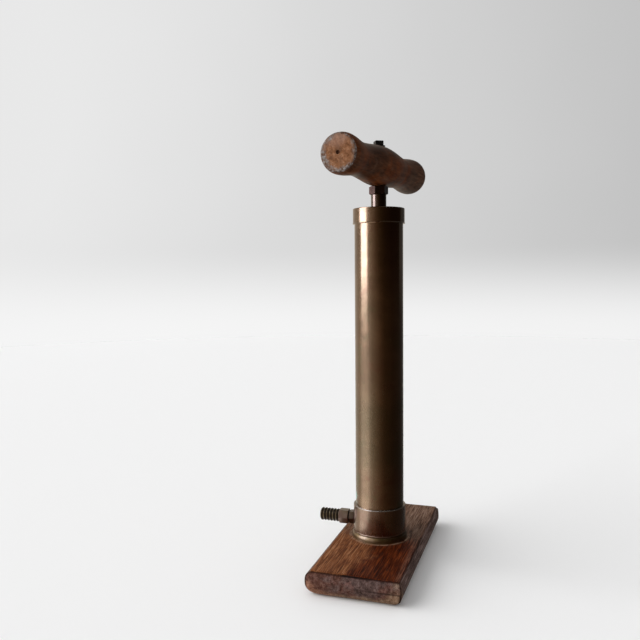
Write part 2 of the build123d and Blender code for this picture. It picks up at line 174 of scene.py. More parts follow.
def board_ring(half_x, half_y, radii):
    """A rectangle with its own radius at each corner, always with the same number of points."""
    points = []
    corners = [(1, -1, -90, POINTS_Y), (1, 1, 0, POINTS_X), (-1, 1, 90, POINTS_Y), (-1, -1, 180, POINTS_X)]
    for index, (sx, sy, start, count) in enumerate(corners):
        radius = radii[index]
        centre = (sx * (half_x - radius), sy * (half_y - radius))
        for step in range(POINTS_CORNER + 1):
            turn = math.radians(start + 90 * step / POINTS_CORNER)
            points.append((centre[0] + radius * math.cos(turn), centre[1] + radius * math.sin(turn)))
        sx, sy, start, _ = corners[(index + 1) % 4]
        radius = radii[(index + 1) % 4]
        end = (sx * (half_x - radius) + radius * math.cos(math.radians(start)),
               sy * (half_y - radius) + radius * math.sin(math.radians(start)))
        first = points[-1]
        for step in range(1, count):
            t = step / count
            points.append((first[0] + (end[0] - first[0]) * t, first[1] + (end[1] - first[1]) * t))
    return points


def make_board():
    low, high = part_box("base_board")
    centre = (Vector(low) + Vector(high)) / 2
    half_x = (high[0] - low[0]) / 2 / MM
    half_y = (high[1] - low[1]) / 2 / MM
    verts = []
    count = 0
    for inset, height in board_stations():
        above_nose = height > NOSE_LOW[1]
        sharpened = 2.2 * inset if height >= NOSE_LOW[1] else 0.0
        radii = [max(worn - sharpened, SHARPEST_CORNER) for worn in CORNER_WEAR]
        ring = board_ring(half_x - inset, half_y - inset, radii)
        if above_nose and inset < STEP_INSET:
            stretch = (half_x - RIGHT_SHARE * inset) / (half_x - inset)
            ring = [(x * stretch if x > 0 else x, y) for x, y in ring]
        count = len(ring)
        # the panel's edge is chipped and rubbed, and the nosing is gently uneven
        edge = max(0.0, 1 - abs(height - PANEL_EDGE_HEIGHT) / 0.7) if inset < STEP_INSET else 0.0
        nose = 1.0 if 2.0 < height < 21.0 else 0.0
        for x, y in ring:
            place = Vector((x, y, height))
            if abs(x) / half_x > abs(y) / half_y:
                inward = Vector((-1 if x > 0 else 1, 0, 0))
            else:
                inward = Vector((0, -1 if y > 0 else 1, 0))
            soft = unevenness(place, 0.030, 0.35, 3.0) * nose + unevenness(place, 0.16, 0.16, 7.0) * nose
            chips = max(0.0, noise.noise(place * 0.12 + Vector((9, 1, 4))) - 0.12) * 1.1 * edge
            rubbed = chips + 0.22 * edge * (0.5 + 0.5 * noise.noise(place * 0.4))
            place += inward * (soft + rubbed)
            place.z -= 0.55 * rubbed
            verts.append(Vector((centre.x, centre.y, 0)) + place * MM)
    board = mesh_object("foot_board", verts, close_tube(len(board_stations()), count), WOOD_SHARP_ANGLE)
    screw_low, screw_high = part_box("base_screws")
    reach = ((screw_high[0] - screw_low[0]) / 2 / MM - SCREW_HEAD_REACH) * MM
    carve(board, [cutter(SCREW_HOLE, (sx * reach, sy * reach, 0)) for sx in (-1, 1) for sy in (-1, 1)])
    return board


# ------------------------------------------------------------------ handle
# all sizes in this section are in mm

GRIP_TURN = math.radians(81.3)
GRIP_SEGMENTS = 144
BELLY, WAIST, BULB = (0.0, 21.0), (57.4, 17.0), (90.35, 19.9)
# the rounded rim, the worn end face and the small centre hole, as (distance, radius)
GRIP_END = [(98.1, 17.85), (98.4, 17.4), (98.62, 16.9), (98.76, 16.3), (98.8, 15.4), (98.78, 13.5),
            (98.74, 11.0), (98.76, 8.0), (98.72, 5.0), (98.74, 3.2), (98.7, 2.3), (98.5, 1.85),
            (97.6, 1.6), (96.6, 0.9)]
RIM_DISTANCE = 98.2
TURNED_RADIUS = 14


def grip_profile():
    """The turned outline of half the grip from the middle outward, as (distance, radius)."""
    outline = []
    for step in range(48):
        t = step / 48
        outline.append((WAIST[0] * t, BELLY[1] - 4.0 * blended(t)))
    for step in range(30):
        t = step / 30
        outline.append((WAIST[0] + 32.95 * t, WAIST[1] + 2.9 * blended(t)))
    for step in range(9):
        t = step / 8
        outline.append((BULB[0] + 7.35 * t, BULB[1] - 0.15 * t - 1.55 * t * t))
    return outline + GRIP_END


def worn_grip_point(x, radius, turn):
    """A point on the grip's surface, with its unevenness, chipped rim and rough end face."""
    rim = max(0.0, 1 - abs(abs(x) - RIM_DISTANCE) / 1.6) if radius > TURNED_RADIUS else 0.0
    face = 1.0 if abs(x) > 98.3 and radius < 15.5 else 0.0
    place = Vector((x, radius * math.cos(turn), radius * math.sin(turn)))
    shrink = 0.0
    if radius > TURNED_RADIUS:
        shrink = unevenness(place, 0.035, 0.30, 11.0) + unevenness(place, 0.20, 0.08, 5.0)
    chips = max(0.0, noise.noise(place * 0.35 + Vector((2, 6, 1))) - 0.05) * 1.3 * rim
    chips += 0.25 * rim * (0.5 + 0.5 * noise.noise(place * 1.1))
    scale = (radius - shrink - 0.8 * chips) / radius
    place.y *= scale
    place.z *= scale
    dip = 0.7 * chips + 0.10 * face * (0.5 + 0.5 * noise.noise(place * 0.5))
    place.x -= dip if x > 0 else -dip
    return place * MM


def make_grip():
    low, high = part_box("handle_grip")
    height = (high[2] + low[2]) / 2 / MM
    half = grip_profile()
    outline = [(-x, radius) for x, radius in reversed(half[1:])] + half
    verts = [worn_grip_point(x, radius, 2 * math.pi * index / GRIP_SEGMENTS)
             for x, radius in outline for index in range(GRIP_SEGMENTS)]
    grip = mesh_object("grip", verts, close_tube(len(outline), GRIP_SEGMENTS), WOOD_SHARP_ANGLE)
    collar_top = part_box("handle_collar")[1][2] / MM - height
    washer_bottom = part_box("handle_washer")[0][2] / MM - height
    stud_hole = [(3.3, -30), (3.3, 30)]
    collar_seat = [(10.6, -30), (10.9, collar_top)]
    washer_seat = [(7.3, washer_bottom), (7.5, 30)]
    carve(grip, [cutter(profile, (0, 0, 0)) for profile in (stud_hole, collar_seat, washer_seat)])
    grip.location = (0, 0, height * MM)
    grip.rotation_euler = (0, 0, GRIP_TURN)
    return grip


# ------------------------------------------------------------------ node graphs

MIX_FACTOR, MIX_A, MIX_B, MIX_COLOUR = 0, 6, 7, 2


class Graph:
    """A short way to write a material's node tree: most methods add a node and give its output."""

    def __init__(self, name):
        self.mat = bpy.data.materials.new(name)
        self.mat.use_nodes = True
        self.tree = self.mat.node_tree
        self.tree.nodes.clear()
        self.out = self.tree.nodes.new("ShaderNodeOutputMaterial")
        self.bsdf = self.tree.nodes.new("ShaderNodeBsdfPrincipled")
        self.link(self.bsdf.outputs[0], self.out.inputs["Surface"])

    def node(self, kind, **values):
        made = self.tree.nodes.new(kind)
        for key, value in values.items():
            setattr(made, key, value)
        return made

    def link(self, a, b):
        self.tree.links.new(a, b)

    def put(self, node, key, value):
        if isinstance(value, bpy.types.NodeSocket):
            self.link(value, node.inputs[key])
        else:
            node.inputs[key].default_value = value

    def coords(self, scale=(1, 1, 1), shift=(0, 0, 0)):
        """The object's own coordinates in metres, stretched and shifted."""
        tex = self.node("ShaderNodeTexCoord")
        mapping = self.node("ShaderNodeMapping")
        self.link(tex.outputs["Object"], mapping.inputs["Vector"])
        mapping.inputs["Scale"].default_value = scale
        mapping.inputs["Location"].default_value = shift
        return mapping.outputs[0]

    def noise(self, vector, scale, detail=4.0, rough=0.55, distort=0.0):
        tex = self.node("ShaderNodeTexNoise")
        self.put(tex, "Vector", vector)
        self.put(tex, "Scale", scale)
        self.put(tex, "Detail", detail)
        self.put(tex, "Roughness", rough)
        self.put(tex, "Distortion", distort)
        return tex.outputs["Fac"]

    def ramp(self, fac, *stops):
        """Colours by value, from stops of (value, colour) or (value, grey level)."""
        ramp = self.node("ShaderNodeValToRGB")
        elements = ramp.color_ramp.elements
        while len(elements) < len(stops):
            elements.new(0.5)
        for element, (place, colour) in zip(elements, stops):
            element.position = place
            if isinstance(colour, (int, float)):
                colour = (colour, colour, colour)
            element.color = (*colour, 1.0)
        self.link(fac, ramp.inputs["Fac"])
        return ramp.outputs["Color"]

    def mix(self, fac, a, b):
        """Colour a where fac is 0 and colour b where it is 1."""
        mix = self.node("ShaderNodeMix", data_type="RGBA")
        self.put(mix, MIX_FACTOR, fac)
        for index, value in ((MIX_A, a), (MIX_B, b)):
            if isinstance(value, tuple):
                value = (*value, 1.0)
            self.put(mix, index, value)
        return mix.outputs[MIX_COLOUR]

    def math(self, kind, a, b=0.0, clamp=False):
        made = self.node("ShaderNodeMath", operation=kind, use_clamp=clamp)
        self.put(made, 0, a)
        self.put(made, 1, b)
        return made.outputs[0]

    def times(self, a, b):
        return self.math("MULTIPLY", a, b)

    def plus(self, a, b):
        return self.math("ADD", a, b)

    def minus(self, a, b):
        return self.math("SUBTRACT", a, b)

    def over(self, a, b):
        return self.math("DIVIDE", a, b)

    def larger(self, a, b, clamp=False):
        return self.math("MAXIMUM", a, b, clamp)

    def smaller(self, a, b):
        return self.math("MINIMUM", a, b)

    def size(self, a):
        return self.math("ABSOLUTE", a)

    def length(self, a, b):
        return self.math("SQRT", self.plus(self.times(a, a), self.times(b, b)))

    def span(self, value, low, high, to_low=0.0, to_high=1.0, smooth=True):
        """Moves low..high to to_low..to_high, level outside it. Low may be the larger of the two."""
        made = self.node("ShaderNodeMapRange")
        made.interpolation_type = "SMOOTHSTEP" if smooth else "LINEAR"
        self.put(made, "Value", value)
        self.put(made, "From Min", low)
        self.put(made, "From Max", high)
        self.put(made, "To Min", to_low)
        self.put(made, "To Max", to_high)
        return made.outputs[0]

    def split(self, vector):
        made = self.node("ShaderNodeSeparateXYZ")
        self.link(vector, made.inputs[0])
        return made.outputs

    def bump(self, height, strength, distance, normal=None):
        made = self.node("ShaderNodeBump")
        self.put(made, "Height", height)
        self.put(made, "Strength", strength)
        self.put(made, "Distance", distance)
        if normal is not None:
            self.link(normal, made.inputs["Normal"])
        return made.outputs[0]


# ------------------------------------------------------------------ materials

# places on the brass, in metres; each pair is where a change of colour starts and ends
DULL_BAND_LOW, DULL_BAND_HIGH = (0.085, 0.115), (0.150, 0.205)
CUP_BEAD, CUP_FOOT, CUP_RIM = (0.0292, 0.0304), (0.0307, 0.0313), (0.0569, 0.0573)
TAIL_AXIS = 0.0397
TAIL_START = (-0.0452, -0.0446)
RIB_CREST = (0.00555, 0.00595)
NOZZLE_SHADE = (-0.0338, -0.0334)
LOCKNUT_GAP_FAR, LOCKNUT_GAP_NEAR = (-0.0343, -0.0339), (-0.0330, -0.0324)
VERDIGRIS_SPOT = (-0.0240, -0.0085, 0.0660)
VERDIGRIS_REACH = (0.003, 0.012)


def brass(name, base, dull, red, green, dark, rough, seed=0.0, low_rough=0.0, extra=None):
    """Aged brass: a thin brown film over yellow metal, clouded redder and greener in places."""
    g = Graph(name)
    here = g.coords(shift=(seed, seed * 0.7, seed * 1.3))
    upright = g.coords(scale=(1, 1, 0.10), shift=(seed, 0, seed))
    cloud = g.noise(here, 24, detail=5, rough=0.55)
    patch = g.noise(here, 62, detail=5, rough=0.6, distort=0.3)
    other = g.noise(g.coords(shift=(seed + 4, 2, 8)), 40, detail=4, rough=0.55, distort=0.3)
    streak = g.noise(upright, 520, detail=3, rough=0.5)
    speck = g.noise(here, 1100, detail=3, rough=0.6)
    height = g.split(g.coords())[2]
    low = g.span(height, 0.30, 0.08)
    colour = g.mix(g.span(cloud, 0.38, 0.64), base, dull)
    redness = g.times(g.span(patch, 0.50, 0.68), g.span(low, 0, 1, 0.30, 0.75))
    colour = g.mix(redness, colour, red)
    greenness = g.times(g.span(other, 0.52, 0.68), g.span(low, 0, 1, 0.30, 0.8))
    colour = g.mix(greenness, colour, green)
    spots = g.span(g.plus(g.times(speck, 0.6), g.times(patch, 0.4)), 0.60, 0.68)
    colour = g.mix(g.times(spots, 0.55), colour, dark)
    colour = g.mix(g.times(g.span(streak, 0.50, 0.72), 0.25), colour, dull)
    if extra == "verdigris":
        # the barrel is duller and yellower in a band below its middle
        dim = g.times(g.span(height, *DULL_BAND_LOW), g.span(height, *reversed(DULL_BAND_HIGH)))
        dim = g.times(dim, g.span(patch, 0.35, 0.60, 0.45, 0.85))
        colour = g.mix(dim, colour, (0.165, 0.118, 0.066))
    gloss = g.plus(g.times(patch, 0.6), g.times(streak, 0.4))
    roughness = g.span(gloss, 0.30, 0.70, rough[0], rough[1])
    if low_rough:
        roughness = g.plus(roughness, g.times(low, low_rough))
    if extra == "cup":
        # the foot moulding is rubbed golden, and the open top edge is rubbed pale with a painted highlight
        bead = g.span(height, *reversed(CUP_BEAD))
        rubbed = g.times(bead, g.span(patch, 0.35, 0.60, 0.45, 1.0))
        colour = g.mix(rubbed, colour, (0.160, 0.104, 0.040))
        rim = g.span(height, *CUP_RIM)
        colour = g.mix(rim, colour, (0.310, 0.260, 0.210))
        coarse = g.larger(g.times(rim, 0.7), g.span(height, *reversed(CUP_FOOT)))
        roughness = g.plus(roughness, g.times(coarse, 0.22))
    if extra == "tail":
        # the hose tail is painted golden on top and dark below, a painted highlight and painted shade; its
        # rib crests are painted dark
        x, y, z = g.split(g.coords())
        above_axis = g.minus(z, TAIL_AXIS)
        away = g.length(y, above_axis)
        tail = g.span(x, *reversed(TAIL_START))
        tail_light_and_shade = g.mix(g.span(above_axis, -0.0050, 0.0015), (0.085, 0.056, 0.030), (0.450, 0.345, 0.205))
        tail_light_and_shade = g.mix(g.span(cloud, 0.42, 0.58), tail_light_and_shade, (0.110, 0.076, 0.042))
        colour = g.mix(tail, colour, tail_light_and_shade)
        crest = g.times(tail, g.span(away, *RIB_CREST))
        colour = g.mix(g.times(crest, 0.93), colour, (0.022, 0.015, 0.010))
        # the end next to the cup is darkened as painted shade, and the gap before the locknut is painted
        # near black as painted shade
        shaded = g.times(g.span(x, *NOZZLE_SHADE), 0.70)
        colour = g.mix(shaded, colour, (0.066, 0.040, 0.026))
        gap = g.times(g.span(x, *LOCKNUT_GAP_FAR), g.span(x, *reversed(LOCKNUT_GAP_NEAR)))
        colour = g.mix(g.times(gap, 0.92), colour, (0.010, 0.006, 0.004))
    metal = 1.0
    if extra == "verdigris":
        # one spot of green low on the barrel
        spot = g.node("ShaderNodeVectorMath", operation="DISTANCE")
        g.link(g.coords(), spot.inputs[0])
        spot.inputs[1].default_value = VERDIGRIS_SPOT
        near = g.span(spot.outputs["Value"], *reversed(VERDIGRIS_REACH))
        bloom = g.times(near, g.span(g.noise(here, 420, detail=4, rough=0.7), 0.46, 0.58))
        colour = g.mix(bloom, colour, (0.22, 0.46, 0.42))
        metal = g.span(bloom, 0, 1, 1.0, 0.0)
        roughness = g.plus(roughness, g.times(bloom, 0.5))
    g.put(g.bsdf, "Base Color", colour)
    g.put(g.bsdf, "Metallic", metal)
    g.put(g.bsdf, "Roughness", roughness)
    # a worn film of old lacquer
    g.put(g.bsdf, "Coat Weight", 0.5)
    g.put(g.bsdf, "Coat Roughness", 0.16)
    first = g.bump(speck, 0.03, 0.0003)
    second = g.bump(streak, 0.04, 0.0003, first)
    g.put(g.bsdf, "Normal", g.bump(patch, 0.10, 0.0010, second))
    return g.mat


def plain(name, colour, dark, rough, scale=300, metallic=0.0):
    """A quiet material with mottled colour, for pieces that hardly show."""
    g = Graph(name)
    mottle = g.noise(g.coords(), scale, detail=6, rough=0.6)
    g.put(g.bsdf, "Base Color", g.mix(g.span(mottle, 0.3, 0.7), dark, colour))
    g.put(g.bsdf, "Metallic", metallic)
    g.put(g.bsdf, "Roughness", g.span(mottle, 0.2, 0.8, rough - 0.1, rough + 0.1))
    g.put(g.bsdf, "Normal", g.bump(mottle, 0.3, 0.0004))
    return g.mat


# places on the board, in metres; each pair is where a change of colour starts and ends
HALO_RADIUS = 0.0312
RUBBED_RIGHT = (0.0385, 0.0405)
NOSING_TOP = (0.0212, 0.0222)
STEP_FOOT, STEP_TOP = (0.0211, 0.0215), (0.0224, 0.0231)
STEP_DEPTH = (0.0068, 0.0080)
RIGHT_SHARE_FROM = (0.0112, 0.0128)
MITRE_WIDTH = (0.0008, 0.0021)
CREASE_HEIGHT = 0.0128
CREASE_WIDTH = (0.0003, 0.0012)
DIRT_AND_SHADE = (0.010, 0.005, 0.004)


def board_wood():
    """Stained open-grained hardwood along Y, worn orange and red on top and grey at the edges."""
    g = Graph("board_wood")
    here = g.coords()
    x, y, z = g.split(here)
    along = g.coords(scale=(1, 0.050, 1))
    wavy = g.coords(scale=(1, 0.055, 1), shift=(0.3, 0.1, 0.2))
    fine = g.noise(along, 950, detail=4, rough=0.6)
    bands = g.noise(wavy, 520, detail=5, rough=0.6, distort=0.15)
    broad = g.noise(wavy, 110, detail=4, rough=0.55, distort=0.2)
    blotch = g.noise(here, 34, detail=5, rough=0.6, distort=0.4)
    scuff = g.noise(g.coords(scale=(0.9, 0.5, 0.8)), 300, detail=6, rough=0.68, distort=0.3)
    grain = g.plus(g.times(fine, 0.60), g.times(bands, 0.40))
    # the top is orange at the front left, red at the right and grey towards the back
    warm = g.ramp(grain, (0.40, (0.076, 0.024, 0.008)), (0.48, (0.148, 0.049, 0.016)),
                  (0.55, (0.235, 0.088, 0.034)), (0.64, (0.350, 0.168, 0.078)))
    red = g.ramp(grain, (0.40, (0.012, 0.002, 0.001)), (0.50, (0.050, 0.008, 0.001)),
                 (0.62, (0.140, 0.030, 0.006)))
    grey = g.ramp(grain, (0.40, (0.050, 0.022, 0.012)), (0.50, (0.135, 0.072, 0.045)),
                  (0.62, (0.260, 0.165, 0.118)))
    to_right = g.plus(g.times(x, 14.0), g.times(g.minus(blotch, 0.5), 2.2))
    colour = g.mix(g.span(to_right, -0.34, 0.32), warm, red)
    back = g.plus(g.times(y, 9.0), g.times(g.minus(broad, 0.5), 1.6))
    greyed = g.span(back, -0.28, 0.30)
    colour = g.mix(greyed, colour, grey)
    reddened = g.times(g.span(broad, 0.44, 0.60), g.span(greyed, 0, 1, 0.40, 0.12, smooth=False))
    colour = g.mix(reddened, colour, red)
    # the polish is worn pale in a ring round the brass foot, partly a painted reflection of the foot
    halo = g.span(g.size(g.minus(g.length(x, y), HALO_RADIUS)), 0.0022, 0.0004)
    halo = g.times(halo, g.span(g.noise(here, 160, detail=4), 0.36, 0.56))
    colour = g.mix(g.times(halo, 0.60), colour, (0.310, 0.200, 0.130))
    # the panel's right edge is rubbed
    rubbed = g.times(g.span(x, *RUBBED_RIGHT), g.span(fine, 0.40, 0.58))
    colour = g.mix(g.times(rubbed, 0.40), colour, (0.170, 0.084, 0.056))
    low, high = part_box("base_board")
    middle_x, middle_y = (low[0] + high[0]) / 2, (low[1] + high[1]) / 2
    half_x, half_y = (high[0] - low[0]) / 2, (high[1] - low[1]) / 2
    # depth in from the nearest side and the nearest end
    from_x = g.minus(half_x, g.size(g.minus(x, middle_x)))
    from_y = g.minus(half_y, g.size(g.minus(y, middle_y)))
    inset = g.smaller(from_x, from_y)
    nosing = g.span(z, *reversed(NOSING_TOP))
    # the nosing is grimy and scuffed purple-grey, rosy in places
    edge_grain = g.ramp(scuff, (0.34, (0.024, 0.009, 0.006)), (0.46, (0.072, 0.030, 0.021)),
                        (0.56, (0.112, 0.053, 0.040)), (0.70, (0.180, 0.095, 0.078)))
    grimy = g.ramp(scuff, (0.34, (0.020, 0.012, 0.010)), (0.50, (0.074, 0.045, 0.038)),
                   (0.68, (0.145, 0.092, 0.084)))
    edge_grain = g.mix(g.span(blotch, 0.47, 0.58), edge_grain, grimy)
    rosy = g.noise(g.coords(shift=(-0.028, 0, 0)), 95, detail=6, rough=0.66)
    rosy = g.times(g.span(rosy, 0.54, 0.68), g.span(z, 0.009, 0.018))
    edge_grain = g.mix(g.times(rosy, 0.50), edge_grain, (0.230, 0.105, 0.088))
    # it is paler low down and at the corners, orange at the left and tan elsewhere
    tan = g.ramp(scuff, (0.34, (0.075, 0.037, 0.021)), (0.55, (0.235, 0.143, 0.087)),
                 (0.70, (0.370, 0.262, 0.166)))
    orange = g.ramp(scuff, (0.34, (0.090, 0.036, 0.021)), (0.55, (0.255, 0.118, 0.072)),
                    (0.70, (0.375, 0.212, 0.142)))
    tan = g.mix(g.span(x, -0.030, -0.010), orange, tan)
    corner = g.span(g.larger(from_x, from_y), 0.026, 0.006, 0, 0.75)
    corner = g.plus(corner, g.span(z, 0.011, 0.002, 0, 0.75))
    corner = g.minus(corner, g.span(z, 0.010, 0.018, 0, 0.35))
    corner = g.span(g.plus(corner, g.minus(blotch, 0.5)), 0.25, 0.85)
    edge = g.mix(g.times(corner, 0.85), edge_grain, tan)
    # the long sides show the grain
    long_side = g.span(g.minus(from_y, from_x), 0.0, 0.002)
    side_grain = g.ramp(grain, (0.40, (0.034, 0.020, 0.015)), (0.50, (0.110, 0.068, 0.056)),
                        (0.62, (0.250, 0.175, 0.155)))
    long_side = g.times(long_side, g.span(from_y, 0.004, 0.012))
    edge = g.mix(g.times(long_side, 0.85), edge, side_grain)
    colour = g.mix(g.times(nosing, 0.95), colour, edge)
    # dirt and painted shade go into the foot of the step, less so on the right
    step = g.times(g.span(z, *STEP_FOOT), g.span(z, *reversed(STEP_TOP)))
    crack = g.times(step, g.span(inset, *reversed(STEP_DEPTH)))
    crack = g.times(crack, g.span(blotch, 0.40, 0.55, 0.45, 0.95))
    crack = g.times(crack, g.span(x, -0.005, 0.040, 1.0, 0.45))
    # dirt goes into the mitres at the corners, which follow the narrower inset of the right side
    on_right = g.times(g.span(z, *RIGHT_SHARE_FROM), g.span(x, 0.0, 0.001))
    from_side = g.times(from_x, g.span(on_right, 0, 1, 1.0, 1 / RIGHT_SHARE, smooth=False))
    mitre = g.span(g.size(g.minus(from_side, from_y)), *reversed(MITRE_WIDTH))
    mitre = g.times(mitre, nosing)
    # painted shade goes into a crease along the widest line of the front nosing, deeper towards the right
    crease = g.span(g.size(g.minus(z, CREASE_HEIGHT)), *reversed(CREASE_WIDTH))
    crease = g.times(crease, g.times(g.span(x, -0.010, 0.030), g.span(y, -0.095, -0.105)))
    lines = g.larger(mitre, g.times(crease, 0.75))
    dirt_and_shade = g.larger(crack, g.times(lines, 0.85), clamp=True)
    # and dirt into the open pores
    pores = g.times(g.span(g.noise(along, 1750, detail=2, rough=0.5), 0.57, 0.65), 0.70)
    dirt_and_shade = g.larger(dirt_and_shade, pores)
    colour = g.mix(dirt_and_shade, colour, DIRT_AND_SHADE)
    g.put(g.bsdf, "Base Color", colour)
    texture = g.plus(grain, g.times(scuff, 0.4))
    g.put(g.bsdf, "Roughness", g.span(texture, 0.4, 1.0, 0.62, 0.42))
    g.put(g.bsdf, "Specular IOR Level", 0.05)
    first = g.bump(grain, 0.45, 0.0007)
    g.put(g.bsdf, "Normal", g.bump(pores, 0.35, -0.0004, first))
    return g.mat


# places on the grip, in metres from its middle
END_FACE = (0.0979, 0.0984)
RIM_START = (0.0963, 0.0975)
CENTRE_HOLE = (0.0016, 0.0022)


def handle_wood():
    """Dark polished hardwood along the grip, with raw end grain and whitened, scuffed rims."""
    g = Graph("handle_wood")
    here = g.coords()
    x, y, z = g.split(here)
    along = g.coords(scale=(0.07, 1, 1))
    fine = g.noise(along, 1000, detail=4, rough=0.6)
    bands = g.noise(along, 360, detail=5, rough=0.6, distort=0.3)
    blotch = g.noise(here, 32, detail=4, rough=0.55, distort=0.4)
    haze = g.noise(here, 75, detail=5, rough=0.6, distort=0.3)
    scuff = g.noise(here, 430, detail=6, rough=0.66, distort=0.3)
    grain = g.plus(g.times(fine, 0.50), g.times(bands, 0.50))
    dark = g.ramp(grain, (0.38, (0.021, 0.008, 0.004)), (0.50, (0.040, 0.015, 0.007)),
                  (0.64, (0.068, 0.028, 0.014)))
    red = g.ramp(grain, (0.38, (0.046, 0.010, 0.003)), (0.50, (0.092, 0.025, 0.007)),
                 (0.64, (0.135, 0.044, 0.015)))
    colour = g.mix(g.span(blotch, 0.40, 0.62), dark, red)
    colour = g.mix(g.times(g.span(haze, 0.50, 0.66), 0.40), colour, (0.088, 0.050, 0.033))
    # the polish is dulled towards one end, and the top is darkened as painted shade
    dull_end = g.times(g.span(x, 0.046, 0.066), 0.62)
    dulled = g.mix(g.span(grain, 0.40, 0.62), (0.036, 0.021, 0.014), (0.074, 0.045, 0.031))
    colour = g.mix(dull_end, colour, dulled)
    top_shade_span = g.times(g.span(x, -0.012, 0.006), g.span(x, 0.052, 0.030))
    painted_top_shade = g.times(g.span(z, 0.009, 0.017), top_shade_span)
    colour = g.mix(g.times(painted_top_shade, 0.70), colour, (0.014, 0.008, 0.006))
    # raw end grain
    reach = g.size(x)
    radius = g.length(y, z)
    raw = g.ramp(g.noise(here, 250, detail=6, rough=0.64, distort=0.2),
                 (0.32, (0.078, 0.032, 0.015)), (0.45, (0.142, 0.060, 0.027)),
                 (0.56, (0.198, 0.088, 0.042)), (0.69, (0.275, 0.148, 0.086)))
    pit = g.span(g.noise(here, 900, detail=2, rough=0.5), 0.56, 0.68)
    raw = g.mix(g.times(pit, 0.25), raw, (0.060, 0.022, 0.011))
    stain = g.span(g.noise(here, 95, detail=4, rough=0.60, distort=0.2), 0.52, 0.68)
    raw = g.mix(g.times(stain, 0.50), raw, (0.105, 0.052, 0.030))
    # a chalky bloom over the upper part of the end
    bloom = g.times(g.span(z, 0.001, 0.013), g.span(haze, 0.40, 0.60))
    raw = g.mix(g.times(bloom, 0.38), raw, (0.290, 0.190, 0.155))
    end = g.span(reach, *END_FACE)
    colour = g.mix(end, colour, raw)
    # scuffed rim, wider and whiter towards one side
    uneven = g.times(g.minus(g.noise(here, 85, detail=5), 0.5), 0.0120)
    lean = g.plus(g.times(z, -0.10), g.times(y, 0.14))
    band = g.span(g.plus(g.plus(radius, uneven), lean), 0.0126, 0.0170)
    rim = g.times(band, g.span(reach, *RIM_START))
    chalk = g.span(scuff, 0.42, 0.60)
    pale = g.ramp(scuff, (0.38, (0.050, 0.036, 0.030)), (0.50, (0.118, 0.100, 0.091)),
                  (0.64, (0.260, 0.240, 0.228)))
    colour = g.mix(g.times(rim, g.span(chalk, 0, 1, 0.55, 0.92)), colour, pale)
    # the centre hole is painted near black as painted shade in the recess
    hole = g.span(radius, *reversed(CENTRE_HOLE))
    colour = g.mix(g.times(hole, end), colour, (0.010, 0.006, 0.004))
    g.put(g.bsdf, "Base Color", colour)
    worn = g.larger(end, rim)
    polish = g.span(blotch, 0.3, 0.7, 0.30, 0.44)
    g.put(g.bsdf, "Roughness", g.plus(polish, g.times(worn, 0.35)))
    g.put(g.bsdf, "Specular IOR Level", 0.045)
    g.put(g.bsdf, "Specular Tint", (1.0, 0.74, 0.58, 1.0))
    first = g.bump(grain, 0.14, 0.0004)
    rough_end = g.times(scuff, worn)
    g.put(g.bsdf, "Normal", g.bump(rough_end, 0.55, 0.0009, first))
    return g.mat


def set_material(obj, material):
    obj.data.materials.clear()
    obj.data.materials.append(material)


# each brass has its base, dull, red, green and dark colours, in that order
looks = {
    "aged_brass": brass(
        "aged_brass", (0.265, 0.172, 0.102), (0.190, 0.118, 0.068), (0.210, 0.098, 0.058),
        (0.160, 0.140, 0.070), (0.060, 0.034, 0.020), rough=(0.15, 0.24), low_rough=0.09,
        extra="verdigris"),
    "cup_brass": brass(
        "cup_brass", (0.285, 0.190, 0.130), (0.215, 0.138, 0.092), (0.240, 0.130, 0.085),
        (0.170, 0.135, 0.080), (0.060, 0.034, 0.022), rough=(0.22, 0.34), seed=3.1, extra="cup"),
    "fitting_brass": brass(
        "fitting_brass", (0.228, 0.140, 0.108), (0.140, 0.086, 0.062), (0.290, 0.155, 0.140),
        (0.140, 0.104, 0.062), (0.030, 0.018, 0.012), rough=(0.26, 0.42), seed=5.3, extra="tail"),
    "dark_fitting": brass(
        "dark_fitting", (0.125, 0.064, 0.059), (0.070, 0.038, 0.032), (0.150, 0.072, 0.070),
        (0.055, 0.045, 0.028), (0.012, 0.008, 0.006), rough=(0.30, 0.45), seed=8.3),
    "rod_brass": brass(
        "rod_brass", (0.172, 0.122, 0.092), (0.125, 0.084, 0.062), (0.150, 0.092, 0.068),
        (0.130, 0.100, 0.066), (0.040, 0.022, 0.014), rough=(0.16, 0.26), seed=2.2),
    "inner_brass": brass(
        "inner_brass", (0.70, 0.52, 0.26), (0.55, 0.38, 0.18), (0.60, 0.36, 0.17),
        (0.50, 0.42, 0.18), (0.2, 0.12, 0.05), rough=(0.22, 0.36), seed=7.9),
    "iron": plain("iron", (0.030, 0.027, 0.025), (0.008, 0.007, 0.007), 0.45, metallic=0.7),
    "steel": plain("steel", (0.46, 0.42, 0.37), (0.26, 0.22, 0.18), 0.22, metallic=1.0),
    "leather": plain("leather", (0.16, 0.08, 0.04), (0.07, 0.035, 0.02), 0.6, scale=700),
    "felt": plain("felt", (0.22, 0.20, 0.17), (0.12, 0.11, 0.09), 0.9, scale=1500),
    "fibre": plain("fibre", (0.14, 0.04, 0.03), (0.08, 0.025, 0.02), 0.55, scale=900),
    "board_wood": board_wood(),
    "handle_wood": handle_wood(),
}
slots = {entry["node"]: entry["material_slot"] for entry in frame["record"]["subparts"]}
for node, slot in slots.items():
    set_material(nodes[node], looks[slot])
set_material(nodes["handle_collar"], looks["dark_fitting"])
set_material(nodes["piston_rod"], looks["rod_brass"])


def stand_in_for(piece, node, body):
    """The finished piece takes the place of a CAD node, on the same body and with the same finish."""
    set_material(piece, looks[slots[node]])
    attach(piece, body)
    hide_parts(node)


